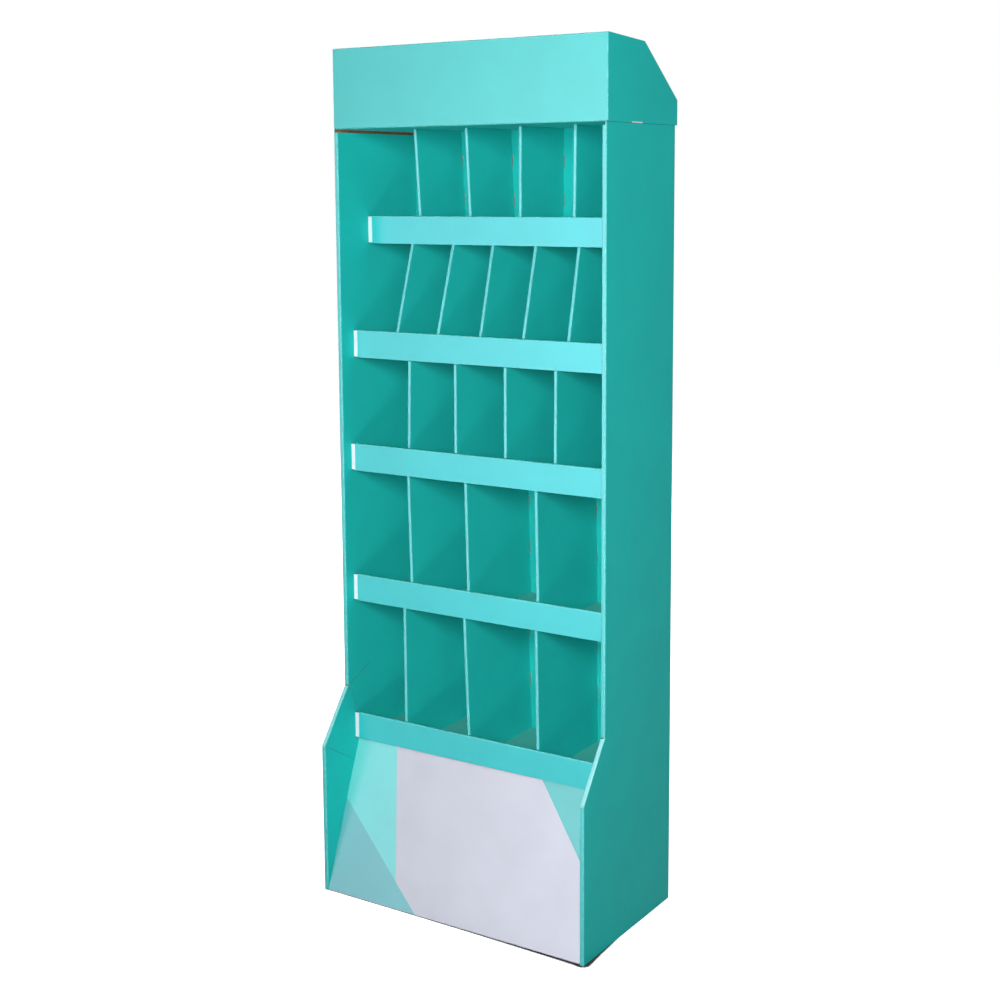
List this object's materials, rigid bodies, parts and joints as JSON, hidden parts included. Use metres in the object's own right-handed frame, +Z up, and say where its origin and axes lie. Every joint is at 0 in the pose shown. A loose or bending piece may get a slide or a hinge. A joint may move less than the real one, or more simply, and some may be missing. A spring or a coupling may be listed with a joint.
{
  "type": "cardboard floor display stand",
  "caption": "Tall freestanding corrugated cardboard shelf display with lipped trays split into bays, a slanted kick panel in a flared base, and a box header.",
  "frame": {"origin": "middle of the overall footprint, at floor level", "axes": "+X to the right seen from the front, +Y to the back, +Z up; the front faces -Y"},
  "size_m": [0.603, 0.341, 1.6589],
  "materials": {
    "wall_board": "satin teal print on corrugated board",
    "back_board": "satin teal print in front, bare kraft liner behind",
    "header_board": "satin teal print on corrugated board",
    "shelf_board": "satin teal print, bare white end tabs",
    "divider_board": "satin teal print on thin corrugated board",
    "kick_board": "satin white print with teal facets",
    "plain_board": "bare kraft liner"
  },
  "bodies": {
    "root": {"left_side": "wall_board", "right_side": "wall_board", "back_panel": "back_board", "top_panel": "header_board", "header": "header_board", "kick_panel": "kick_board", "base_support": "plain_board", "shelf_1": "shelf_board", "shelf_2": "shelf_board", "shelf_3": "shelf_board", "shelf_4": "shelf_board", "shelf_5": "shelf_board", "divider_1_1": "divider_board", "divider_1_2": "divider_board", "divider_1_3": "divider_board", "divider_1_4": "divider_board", "divider_2_1": "divider_board", "divider_2_2": "divider_board", "divider_2_3": "divider_board", "divider_2_4": "divider_board", "divider_2_5": "divider_board", "divider_3_1": "divider_board", "divider_3_2": "divider_board", "divider_3_3": "divider_board", "divider_3_4": "divider_board", "divider_4_1": "divider_board", "divider_4_2": "divider_board", "divider_4_3": "divider_board", "divider_5_1": "divider_board", "divider_5_2": "divider_board", "divider_5_3": "divider_board"}
  },
  "joints": []
}
